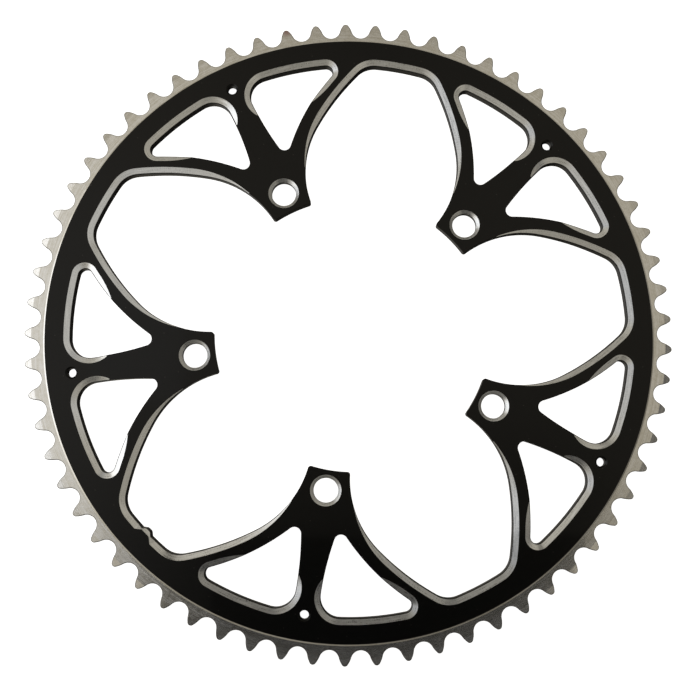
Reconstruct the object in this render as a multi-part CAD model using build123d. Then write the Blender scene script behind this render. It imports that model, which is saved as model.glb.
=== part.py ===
from build123d import *
import math
import os
from dataclasses import dataclass

# Bicycle chainring, one machined aluminium plate, in millimetres and degrees.
# The ring lies on its back with its axis on Z, the rear of its rim on z = 0 and one arm on +Y.
# Every outline is a chain of circles, each touching the next one.

# Chain and teeth
CHAIN_PITCH = 12.7
TOOTH_COUNT = 65
TOOTH_THICKNESS = 2.1
TOOTH_RISE = 2.4
ROLLER_SEAT_R = 4.0
TOOTH_FLANK_R = 11.0
TOOTH_NOSE_R = 1.35
TIP_BEVEL_LENGTH = 3.0
TIP_BEVEL_DROP = 0.75

# Rim, and the dish behind the arms that makes the tabs thinner than the rim
TOOTH_LAND = 2.2
RIM_WIDTH = 10.6
RIM_THICKNESS = 5.0
SHOULDER_BEVEL = 0.7
TAB_THICKNESS = 3.9
DISH_INSET = 8.6
TAB_PAD_REACH = 15.0

# Arms: a tab with a bolt hole at the inner end, sides that flare out to the rim
ARM_COUNT = 5
BOLT_CIRCLE_D = 130.0
BOLT_HOLE_D = 10.0
BOLT_SINK_D = 12.6
BOLT_SINK_DEPTH = 1.3
TAB_END_INSET = 8.2
TAB_END_WIDTH = 17.0
TAB_CORNER_R = 1.1
TAB_FLARE = 5.7
TAB_SIDE_INSET = 8.73
ARM_CURVE_R = 104.1
BAY_CORNER_R = 9.7
BAY_HALF_TURN = 4.764

# Windows on both sides of each arm's spine, with a leg of the arm below them
SPINE_WIDTH = 10.1
SPINE_CURVE_R = 122.0
SPINE_WAIST_INSET = 10.6
LEG_WIDTH = 7.3
LEG_CURVE_R = 92.0
LEG_CURVE_TURN = 10.15
WINDOW_CROWN_R = 8.0
WINDOW_HEEL_R = 2.8
WINDOW_TIP_R = 2.7

# Bare bevel around the openings of the front face, and the curves on which it runs out: the leg's turn
# starts at the window's heel, and the crown's at the rim
BEVEL_WIDTH = 2.35
BEVEL_DEPTH = 1.4
BAY_RUN_OUT_R = 41.0
BAY_RUN_OUT_TURN = 3.15
LEG_RUN_OUT_R = 45.0
LEG_RUN_OUT_TURN = 1.87
LEG_RUN_OUT_LENGTH = 20.0
CROWN_RUN_OUT_TURN = 150.0

# Index nib in the bay opposite the first arm
NIB_RISE = 1.25
NIB_TIP_WIDTH = 2.0
NIB_BASE_WIDTH = 5.2
NIB_FACE_RISE = 1.9
NIB_FACE_TIP_WIDTH = 4.0
NIB_FACE_BASE_WIDTH = 8.6
NIB_CORNER_R = 1.5

# Pin holes at the arms' outer ends
PIN_EDGE_DISTANCE = 10.7
PIN_HOLE_D = 3.6
PIN_SINK_D = 5.0
PIN_SINK_DEPTH = 0.7
PIN_REAR_D = 6.0
PIN_REAR_DEPTH = 1.7

# Room that a cut has beyond the metal, and that a bevel's cut has below the bevel
CUT_ROOM = 2.0
BEVEL_ROOM = 0.7

ARM_STEP = 360 / ARM_COUNT
TOOTH_STEP = 360 / TOOTH_COUNT
NIB_TURN = ARM_STEP * (ARM_COUNT // 2 + 0.5)
PITCH_R = CHAIN_PITCH / (2 * math.sin(math.radians(TOOTH_STEP / 2)))
TIP_R = PITCH_R + TOOTH_RISE
RIM_OUTER_R = PITCH_R - ROLLER_SEAT_R - TOOTH_LAND
RIM_INNER_R = RIM_OUTER_R - RIM_WIDTH
BOLT_CIRCLE_R = BOLT_CIRCLE_D / 2
PIN_CIRCLE_R = RIM_OUTER_R - PIN_EDGE_DISTANCE
ARM_LENGTH = RIM_INNER_R - BOLT_CIRCLE_R
TAB_SIDE_R = ARM_LENGTH - TAB_SIDE_INSET
ARM_CURVE_TURN = ARM_STEP / 2 - BAY_HALF_TURN
BEVEL_TAPER = math.degrees(math.atan2(BEVEL_WIDTH, BEVEL_DEPTH))
ORIGIN = Vector(0, 0)


@dataclass(frozen=True)
class Round:
    """A circle in plan that an outline follows for a while."""

    centre: Vector
    radius: float

    def grown(self, amount):
        """The concentric circle with its radius changed by amount."""
        return Round(self.centre, self.radius + amount)

    def turned(self, angle):
        """The circle after a turn about the ring's axis."""
        return Round(self.centre.rotate(Axis.Z, angle), self.radius)

    def mirrored(self):
        """The circle on the other side of the first arm's centre line."""
        return Round(Vector(-self.centre.X, self.centre.Y), self.radius)

    def point(self, angle):
        """The point at an angle that is measured from +Y towards -X."""
        return self.centre + Vector(0, self.radius).rotate(Axis.Z, angle)

    def angle(self, point):
        """The angle of a point of the circle, measured from +Y towards -X."""
        return math.degrees(math.atan2(self.centre.X - point.X, point.Y - self.centre.Y))

    def within(self, radius):
        """The circle on which the centres lie of larger circles that have this one inside and touch it."""
        return Round(self.centre, radius - self.radius)

    def spun(self, start, angle):
        """The point that a turn about the circle's centre takes a point of the circle to."""
        return self.centre + (start - self.centre).rotate(Axis.Z, angle)

    def touching(self, radius, angle):
        """The circle that touches this one at an angle, one of the two inside the other."""
        return Round(self.grown(-radius).point(angle), radius)

    def touch(self, other):
        """The point where this circle touches another, from outside or inside."""
        way = other.centre - self.centre
        if way.length > max(self.radius, other.radius):
            return self.centre + way.normalized() * self.radius
        big, small = (self, other) if self.radius > other.radius else (other, self)
        return big.centre + (small.centre - big.centre).normalized() * big.radius

    def meet(self, other, side):
        """The crossing of two circles on the left (1) or right (-1) of the way to the other centre."""
        way = other.centre - self.centre
        along = (way.length**2 + self.radius**2 - other.radius**2) / (2 * way.length)
        across = math.sqrt(self.radius**2 - along**2) * side
        unit = way.normalized()
        return self.centre + unit * along + Vector(-unit.Y, unit.X) * across

    def arc(self, start, end):
        """The shorter arc between two points of the circle."""
        middle = (start - self.centre) + (end - self.centre)
        return ThreePointArc(start, self.centre + middle.normalized() * self.radius, end)


def closed_chain(rounds):
    """Face inside a closed chain of touching circles."""
    joints = [rounds[i - 1].touch(rounds[i]) for i in range(len(rounds))]
    ends = joints[1:] + joints[:1]
    return make_face([r.arc(a, b) for r, a, b in zip(rounds, joints, ends)])


def open_chain(start, rounds, end):
    """Face inside a chain of touching circles that a straight line closes from end to start."""
    joints = [a.touch(b) for a, b in zip(rounds, rounds[1:])]
    arcs = [r.arc(a, b) for r, a, b in zip(rounds, [start] + joints, joints + [end])]
    return make_face(arcs + [Line(end, start)])


def next_arm(rounds):
    """Circles of the facing side of the next arm clockwise, in the order that closes a bay."""
    return [r.mirrored().turned(-ARM_STEP) for r in reversed(rounds)]


def around(shape):
    """One copy of a shape at every arm."""
    return [shape.rotate(Axis.Z, ARM_STEP * i) for i in range(ARM_COUNT)]


def ring_of(*corners):
    """Solid that a section of (radius, height) corners sweeps about the ring's axis."""
    section = make_face(Plane.XZ * Polyline(*corners, close=True))
    return revolve(section, Axis.Z)


# Circles that bound the arms: the rim's inner wall, a tab's end and side, the bay's corner on the rim, and
# the arm's curve from the tab's side to that corner
RIM = Round(ORIGIN, RIM_INNER_R)
TAB_END = Round(ORIGIN, BOLT_CIRCLE_R - TAB_END_INSET)
TAB_START = Vector(TAB_END_WIDTH / 2, math.sqrt(TAB_END.radius**2 - (TAB_END_WIDTH / 2) ** 2))
TAB_SIDE = Round(TAB_START + Vector(TAB_SIDE_R, 0).rotate(Axis.Z, -TAB_FLARE), TAB_SIDE_R)
BAY_CORNER = RIM.touching(BAY_CORNER_R, -ARM_CURVE_TURN)
ARM = Round(TAB_SIDE.within(ARM_CURVE_R).meet(BAY_CORNER.within(ARM_CURVE_R), -1), ARM_CURVE_R)
ARM_CURVE_START = ARM.angle(TAB_SIDE.touch(ARM))


def toothed_disc():
    """Disc with a tooth gap on each arm's line, the teeth bevelled towards their tips in front."""
    seat = Round(Vector(0, PITCH_R), ROLLER_SEAT_R)
    nose = Round(Vector(0, TIP_R - TOOTH_NOSE_R), TOOTH_NOSE_R).turned(-TOOTH_STEP / 2)
    flank_at = seat.grown(TOOTH_FLANK_R).meet(nose.within(TOOTH_FLANK_R), -1)
    flank = Round(flank_at, TOOTH_FLANK_R)
    one_pitch = [flank.mirrored(), seat, flank, nose]
    profile = [r.turned(-TOOTH_STEP * i) for i in range(TOOTH_COUNT) for r in one_pitch]
    disc = extrude(closed_chain(profile), amount=TOOTH_THICKNESS)
    slope = TIP_BEVEL_DROP / TIP_BEVEL_LENGTH
    bevel_end = TIP_R + CUT_ROOM
    return disc - ring_of(
        (TIP_R - TIP_BEVEL_LENGTH, TOOTH_THICKNESS),
        (bevel_end, TOOTH_THICKNESS - TIP_BEVEL_DROP - slope * CUT_ROOM),
        (bevel_end, TOOTH_THICKNESS),
    )


def plate():
    """Round plate inside the teeth, with a bevel on its front edge."""
    return ring_of(
        (0, 0),
        (RIM_OUTER_R, 0),
        (RIM_OUTER_R, RIM_THICKNESS - SHOULDER_BEVEL),
        (RIM_OUTER_R - SHOULDER_BEVEL, RIM_THICKNESS),
        (0, RIM_THICKNESS),
    )


def rear_dish():
    """Cut behind the arms, from the rim's back up a slope to the back of the tabs."""
    tab_back = RIM_THICKNESS - TAB_THICKNESS
    return ring_of(
        (0, 0),
        (RIM_INNER_R - DISH_INSET, 0),
        (BOLT_CIRCLE_R + TAB_PAD_REACH, tab_back),
        (0, tab_back),
    )


def central_opening():
    """Outline of the star-shaped opening: the tabs' ends, the arms' sides and the bays."""
    corner = Round(TAB_END.grown(TAB_CORNER_R).meet(TAB_SIDE.grown(TAB_CORNER_R), 1), TAB_CORNER_R)
    half = [corner, TAB_SIDE, ARM, BAY_CORNER]
    one_arm = [TAB_END] + half + [RIM] + next_arm(half)
    return closed_chain([r.turned(-ARM_STEP * i) for i in range(ARM_COUNT) for r in one_arm])


def window_rounds():
    """Circles of the window on the first arm's right: rim, heel, leg, tip, spine and crown."""
    leg = ARM.grown(LEG_WIDTH).touching(LEG_CURVE_R, ARM_CURVE_START - LEG_CURVE_TURN)
    spine = Round(Vector(SPINE_WIDTH / 2 + SPINE_CURVE_R, RIM_INNER_R - SPINE_WAIST_INSET), SPINE_CURVE_R)
    crown = Round(spine.grown(-WINDOW_CROWN_R).meet(RIM.grown(-WINDOW_CROWN_R), -1), WINDOW_CROWN_R)
    heel = Round(leg.grown(WINDOW_HEEL_R).meet(RIM.grown(-WINDOW_HEEL_R), -1), WINDOW_HEEL_R)
    tip = Round(leg.grown(WINDOW_TIP_R).meet(spine.grown(-WINDOW_TIP_R), 1), WINDOW_TIP_R)
    return RIM, heel, leg, tip, spine, crown


def window_bevel():
    """Outline of the bevel at a window's rim side, which runs out on the spine and on the leg."""
    rim, heel, leg, _, _, crown = window_rounds()
    edge = leg.grown(-BEVEL_WIDTH)
    crown, rim, heel = [r.grown(BEVEL_WIDTH) for r in (crown, rim, heel)]
    leave = edge.spun(heel.touch(edge), LEG_RUN_OUT_TURN)
    run_out = Round(leave + (leave - edge.centre).normalized() * LEG_RUN_OUT_R, LEG_RUN_OUT_R)
    end = run_out.spun(leave, -math.degrees(LEG_RUN_OUT_LENGTH / LEG_RUN_OUT_R))
    start = crown.spun(crown.touch(rim), CROWN_RUN_OUT_TURN)
    return open_chain(start, [crown, rim, heel, edge, run_out], end)


def bay_bevel():
    """Outline of the bevel around a bay, which runs out along the tabs' sides."""
    arm = ARM.grown(BEVEL_WIDTH)
    run_out = arm.touching(BAY_RUN_OUT_R, ARM_CURVE_START - BAY_RUN_OUT_TURN)
    half = [run_out, arm, BAY_CORNER.grown(BEVEL_WIDTH)]
    start = run_out.meet(Round(ORIGIN, BOLT_CIRCLE_R), -1)
    end = Vector(-start.X, start.Y).rotate(Axis.Z, -ARM_STEP)
    return open_chain(start, half + [RIM.grown(BEVEL_WIDTH)] + next_arm(half), end)


def nib(base_r, rise, tip_width, base_width):
    """Trapezium that stands on a circle in the nib's bay, its rounded tip towards the ring's axis."""
    half = base_width / 2
    base_y = math.sqrt(base_r**2 - half**2)
    right_side = [(tip_width / 2, base_r - rise), (half, base_y), (half, base_y + CUT_ROOM)]
    left_side = [(-x, y) for x, y in reversed(right_side)]
    face = make_face(Polyline(*right_side, *left_side, close=True))
    tip_corners = face.vertices().sort_by(Axis.Y)[:2]
    return fillet(tip_corners, NIB_CORNER_R).rotate(Axis.Z, NIB_TURN)


def through(face):
    """Straight cut through the whole plate along a plan outline."""
    return extrude(Pos(0, 0, -CUT_ROOM) * face, amount=RIM_THICKNESS + 2 * CUT_ROOM)


def bevelling(face):
    """Sloping cut in the front face that narrows downwards from a plan outline."""
    front = Pos(0, 0, RIM_THICKNESS) * face
    return extrude(front, amount=BEVEL_DEPTH + BEVEL_ROOM, dir=(0, 0, -1), taper=BEVEL_TAPER)


def drillings(radius, diameter, top, depth):
    """Cylinders down from a height, one at every arm."""
    drill = Cylinder(diameter / 2, depth, align=(Align.CENTER, Align.CENTER, Align.MAX))
    return around(Pos(0, radius, top) * drill)


def countersinks(radius, hole_d, sink_d, depth):
    """Cones in the front face, one at every arm, from the sink's diameter down to the hole's."""
    cone = Cone(hole_d / 2, sink_d / 2, depth, align=(Align.CENTER, Align.CENTER, Align.MAX))
    return around(Pos(0, radius, RIM_THICKNESS) * cone)


def chainring():
    """The whole ring: the plate with its teeth, opened, bevelled and drilled."""
    window = closed_chain(window_rounds())
    bevel = window_bevel()
    windows = around(window) + around(mirror(window, about=Plane.YZ))
    window_bevels = around(bevel) + around(mirror(bevel, about=Plane.YZ))
    nib_wall = nib(RIM_INNER_R, NIB_RISE, NIB_TIP_WIDTH, NIB_BASE_WIDTH)
    nib_face = nib(RIM_INNER_R + BEVEL_WIDTH, NIB_FACE_RISE, NIB_FACE_TIP_WIDTH, NIB_FACE_BASE_WIDTH)
    bay_bevels = [face - nib_face for face in around(bay_bevel())]

    ring = toothed_disc() + plate() - rear_dish()
    ring -= [through(face) for face in [central_opening() - nib_wall] + windows]
    ring -= [bevelling(face) for face in bay_bevels + window_bevels]
    ring -= drillings(BOLT_CIRCLE_R, BOLT_HOLE_D, RIM_THICKNESS, RIM_THICKNESS)
    ring -= countersinks(BOLT_CIRCLE_R, BOLT_HOLE_D, BOLT_SINK_D, BOLT_SINK_DEPTH)
    ring -= drillings(PIN_CIRCLE_R, PIN_HOLE_D, RIM_THICKNESS, RIM_THICKNESS)
    ring -= countersinks(PIN_CIRCLE_R, PIN_HOLE_D, PIN_SINK_D, PIN_SINK_DEPTH)
    ring -= drillings(PIN_CIRCLE_R, PIN_REAR_D, PIN_REAR_DEPTH, PIN_REAR_DEPTH)
    return ring


os.makedirs("parts", exist_ok=True)
export_step(chainring(), "parts/chainring.step")
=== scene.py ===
"""Looks of a bicycle chainring: its fine surfaces, finishes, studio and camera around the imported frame."""

import logging
import math
from dataclasses import dataclass, field
from enum import Enum, IntEnum
from typing import Any, Iterable, Sequence

import bmesh
import bpy
import numpy as np
from mathutils import Matrix, Vector
from mathutils.geometry import delaunay_2d_cdt


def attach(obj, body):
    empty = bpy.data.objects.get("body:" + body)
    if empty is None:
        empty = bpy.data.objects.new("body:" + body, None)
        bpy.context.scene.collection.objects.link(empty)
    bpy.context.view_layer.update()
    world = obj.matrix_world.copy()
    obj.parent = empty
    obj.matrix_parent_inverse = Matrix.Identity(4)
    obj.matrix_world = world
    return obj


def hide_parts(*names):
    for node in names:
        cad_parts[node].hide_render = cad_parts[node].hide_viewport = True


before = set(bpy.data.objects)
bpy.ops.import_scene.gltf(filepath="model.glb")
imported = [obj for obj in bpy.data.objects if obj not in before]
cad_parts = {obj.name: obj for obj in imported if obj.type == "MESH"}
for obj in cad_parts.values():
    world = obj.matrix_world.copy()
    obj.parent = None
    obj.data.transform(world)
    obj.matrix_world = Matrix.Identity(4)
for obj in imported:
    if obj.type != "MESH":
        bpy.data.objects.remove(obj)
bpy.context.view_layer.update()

LOG = logging.getLogger("chainring")
MM = 0.001
IMAGE_SIDE = 700

# Lengths in millimetres below which points count as one and edges are dropped.
SAME_POINT = 1e-6
NET_TOLERANCE = 1e-7
MERGE_DISTANCE = 0.002
COLLAPSE_DISTANCE = 0.001

# Points that are tested against a loop at a time, which bounds the memory.
TEST_BLOCK = 2000


def cis(angle: float) -> complex:
    """Unit complex number at an angle in degrees."""
    return complex(math.cos(math.radians(angle)), math.sin(math.radians(angle)))


def full_turn(count: int) -> np.ndarray:
    """Unit complex numbers at equal steps of a full turn."""
    return np.exp(2j * np.pi * np.arange(count) / count)


class Coat(IntEnum):
    """Finishes of the ring, in the order of its material slots."""

    BLACK_FACE = 0
    BARE_BEVEL = 1
    BARE_TURNED = 2
    BLACK_WALL = 3
    DULL_EDGE = 4


@dataclass(frozen=True)
class RingSizes:
    """Sizes of the ring in millimetres and degrees.

    They have the values of the part's source, down to the pin holes. The edge breaks, the lip at the bevels'
    feet and the fillet at the teeth's foot are the scene's own.
    """

    chain_pitch: float = 12.7
    tooth_count: int = 65
    tooth_thickness: float = 2.1
    tooth_rise: float = 2.4
    roller_seat_r: float = 4.0
    tooth_flank_r: float = 11.0
    tooth_nose_r: float = 1.35
    tip_bevel_length: float = 3.0
    tip_bevel_drop: float = 0.75
    tooth_land: float = 2.2
    rim_width: float = 10.6
    rim_thickness: float = 5.0
    shoulder_bevel: float = 0.7
    tab_thickness: float = 3.9
    dish_inset: float = 8.6
    tab_pad_reach: float = 15.0
    arm_count: int = 5
    bolt_circle_r: float = 65.0
    bolt_hole_r: float = 5.0
    bolt_sink_r: float = 6.3
    bolt_sink_depth: float = 1.3
    tab_end_inset: float = 8.2
    tab_end_width: float = 17.0
    tab_corner_r: float = 1.1
    tab_flare: float = 5.7
    tab_side_inset: float = 8.73
    arm_curve_r: float = 104.1
    bay_corner_r: float = 9.7
    bay_half_turn: float = 4.764
    spine_width: float = 10.1
    spine_curve_r: float = 122.0
    spine_waist_inset: float = 10.6
    leg_width: float = 7.3
    leg_curve_r: float = 92.0
    leg_curve_turn: float = 10.15
    window_crown_r: float = 8.0
    window_heel_r: float = 2.8
    window_tip_r: float = 2.7
    bevel_width: float = 2.35
    bevel_depth: float = 1.4
    bay_run_out_r: float = 41.0
    bay_run_out_turn: float = 3.15
    leg_run_out_r: float = 45.0
    leg_run_out_turn: float = 1.87
    nib_rise: float = 1.25
    nib_tip_width: float = 2.0
    nib_base_width: float = 5.2
    nib_face_rise: float = 1.9
    nib_face_tip_width: float = 4.0
    nib_face_base_width: float = 8.6
    nib_corner_r: float = 1.5
    pin_edge_distance: float = 10.7
    pin_hole_r: float = 1.8
    pin_sink_r: float = 2.5
    pin_sink_depth: float = 0.7
    pin_rear_r: float = 3.0
    pin_rear_depth: float = 1.7
    edge_break: float = 0.12
    bevel_lip: float = 0.3
    bevel_lip_share: float = 0.3
    bevel_lip_slope: float = 0.5
    tooth_break: float = 0.3
    foot_fillet: float = 0.3

    @property
    def arm_step(self) -> float:
        """Angle from one arm to the next."""
        return 360 / self.arm_count

    @property
    def tooth_step(self) -> float:
        """Angle from one tooth to the next."""
        return 360 / self.tooth_count

    @property
    def pitch_r(self) -> float:
        """Radius of the circle through the chain's pins."""
        return self.chain_pitch / (2 * math.sin(math.radians(self.tooth_step / 2)))

    @property
    def tip_r(self) -> float:
        """Radius at the teeth's tips."""
        return self.pitch_r + self.tooth_rise

    @property
    def rim_outer_r(self) -> float:
        """Radius of the shoulder below the teeth."""
        return self.pitch_r - self.roller_seat_r - self.tooth_land

    @property
    def rim_inner_r(self) -> float:
        """Radius of the rim's inner wall."""
        return self.rim_outer_r - self.rim_width

    @property
    def pin_circle_r(self) -> float:
        """Radius of the circle through the pin holes."""
        return self.rim_outer_r - self.pin_edge_distance

    @property
    def tab_side_r(self) -> float:
        """Radius of a tab's hollow side."""
        return self.rim_inner_r - self.bolt_circle_r - self.tab_side_inset

    @property
    def dish_radii(self) -> tuple[float, float]:
        """Radii where the rear dish's cone begins at the tabs and ends at the rim."""
        return self.bolt_circle_r + self.tab_pad_reach, self.rim_inner_r - self.dish_inset

    @property
    def bevel_slope(self) -> float:
        """How much a bevel falls for each millimetre of its width."""
        return self.bevel_depth / self.bevel_width

    def back(self, plan: np.ndarray) -> np.ndarray:
        """Height of the rear surface: flat under the rim, up the dish's cone, flat under the tabs.

        Args:
            plan: Plan points as complex numbers.

        Returns:
            Their heights on the rear surface.
        """
        return np.interp(np.abs(plan), self.dish_radii, [self.rim_thickness - self.tab_thickness, 0.0])

    def tooth_front(self, radius: np.ndarray) -> np.ndarray:
        """Height of the teeth's front at a radius: flat, then falling on a cone towards the tips.

        Args:
            radius: Distances from the axis.

        Returns:
            Their heights on the teeth's front.
        """
        past = np.maximum(radius - (self.tip_r - self.tip_bevel_length), 0)
        return self.tooth_thickness - past * self.tip_bevel_drop / self.tip_bevel_length


@dataclass(frozen=True)
class Round:
    """A circle in plan that an outline follows for a while; plan points are complex numbers."""

    centre: complex
    radius: float

    def grown(self, amount: float) -> "Round":
        """The concentric circle with its radius changed by amount."""
        return Round(self.centre, self.radius + amount)

    def turned(self, angle: float) -> "Round":
        """The circle after a turn about the ring's axis."""
        return Round(self.centre * cis(angle), self.radius)

    def mirrored(self) -> "Round":
        """The circle on the other side of the first arm's centre line."""
        return Round(-self.centre.conjugate(), self.radius)

    def point(self, angle: float) -> complex:
        """The point at an angle that is measured from +Y towards -X."""
        return self.centre + 1j * self.radius * cis(angle)

    def angle(self, point: complex) -> float:
        """The angle of a point of the circle, measured from +Y towards -X."""
        return math.degrees(np.angle((point - self.centre) / 1j))

    def spun(self, start: complex, angle: float) -> complex:
        """The point that a turn about the circle's centre takes a point of the circle to."""
        return self.centre + (start - self.centre) * cis(angle)

    def touching(self, radius: float, angle: float) -> "Round":
        """The circle that touches this one at an angle, one of the two inside the other."""
        return Round(self.grown(-radius).point(angle), radius)

    def within(self, radius: float) -> "Round":
        """The circle on which the centres lie of larger circles that hold this one and touch it."""
        return Round(self.centre, radius - self.radius)

    def nearest(self, points: np.ndarray) -> np.ndarray:
        """The circle's points nearest to given plan points."""
        way = points - self.centre
        return self.centre + self.radius * way / np.abs(way)

    def touch(self, other: "Round") -> complex:
        """The point where this circle touches another, from outside or inside."""
        way = other.centre - self.centre
        if abs(way) > max(self.radius, other.radius):
            return self.centre + self.radius * way / abs(way)
        big, small = (self, other) if self.radius > other.radius else (other, self)
        way = small.centre - big.centre
        return big.centre + big.radius * way / abs(way)

    def meet(self, other: "Round", side: int) -> complex:
        """The crossing of two circles on the left (1) or right (-1) of the way to the other centre."""
        way = other.centre - self.centre
        along = (abs(way) ** 2 + self.radius**2 - other.radius**2) / (2 * abs(way))
        across = side * math.sqrt(self.radius**2 - along**2)
        return self.centre + way / abs(way) * complex(along, across)

    def cross(self, other: "Round", near: complex) -> complex:
        """The crossing of two circles that is nearer to a point."""
        return min((self.meet(other, side) for side in (1, -1)), key=lambda p: abs(p - near))

    def arc(self, start: complex, end: complex, step: float, bend: float) -> np.ndarray:
        """Points of the shorter arc from start up to end, which is left out: centre plus a turning radius.

        Args:
            start: First point of the arc.
            end: Point where the arc ends.
            step: Longest distance between neighbours.
            bend: Largest turn between neighbours, in degrees.

        Returns:
            Plan points at equal turns.
        """
        sweep = float(np.angle((end - self.centre) / (start - self.centre)))
        count = math.ceil(max(abs(sweep) * self.radius / step, math.degrees(abs(sweep)) / bend, 1))
        return self.centre + (start - self.centre) * np.exp(1j * sweep * np.arange(count) / count)


@dataclass(frozen=True)
class Wall:
    """A stretch of an opening's wall along one circle, with the circle of the cutter that bevels its edge."""

    round: Round
    start: complex
    end: complex
    metal: int = 1
    cutter: Round | None = None

    def placed(self, mirror: bool, angle: float) -> "Wall":
        """The stretch on an arm's other side (walked the other way), or on another arm.

        Args:
            mirror: Whether the stretch is mirrored first.
            angle: Turn about the ring's axis that follows.

        Returns:
            The stretch at its new place.
        """
        rounds = [self.round, self.cutter]
        start, end = self.start, self.end
        if mirror:
            rounds = [r and r.mirrored() for r in rounds]
            start, end = -end.conjugate(), -start.conjugate()
        rounds = [r and r.turned(angle) for r in rounds]
        return Wall(rounds[0], start * cis(angle), end * cis(angle), self.metal, rounds[1])


@dataclass
class Edge:
    """An opening's wall as samples: wall points, directions into the metal and the bevel's outer edge."""

    wall: np.ndarray
    inward: np.ndarray
    rim: np.ndarray

    @staticmethod
    def along(walls: Iterable[Wall], step: float, bend: float) -> "Edge":
        """Samples a chain of wall stretches; a bevel's edge is the cutter's nearest point to the wall.

        Args:
            walls: The stretches in order.
            step: Longest distance between samples.
            bend: Largest turn between samples, in degrees.

        Returns:
            The sampled edge, the end of the last stretch left out.
        """
        wall, inward, rim = [], [], []
        for w in walls:
            points = w.round.arc(w.start, w.end, step, bend)
            wall.append(points)
            inward.append(w.metal * (points - w.round.centre) / w.round.radius)
            rim.append(points if w.cutter is None else w.cutter.nearest(points))
        return Edge(np.concatenate(wall), np.concatenate(inward), np.concatenate(rim))

    def joined(self, other: "Edge") -> "Edge":
        """This edge followed by another one."""
        pairs = zip((self.wall, self.inward, self.rim), (other.wall, other.inward, other.rim))
        return Edge(*[np.concatenate(pair) for pair in pairs])

    def turned(self, angle: float) -> "Edge":
        """The edge after a turn about the ring's axis."""
        spin = cis(angle)
        return Edge(self.wall * spin, self.inward * spin, self.rim * spin)

    def mirrored(self) -> "Edge":
        """The edge on the other side of the first arm's centre line, walked the other way."""
        return Edge(*[-np.conj(a[::-1]) for a in (self.wall, self.inward, self.rim)])


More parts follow.
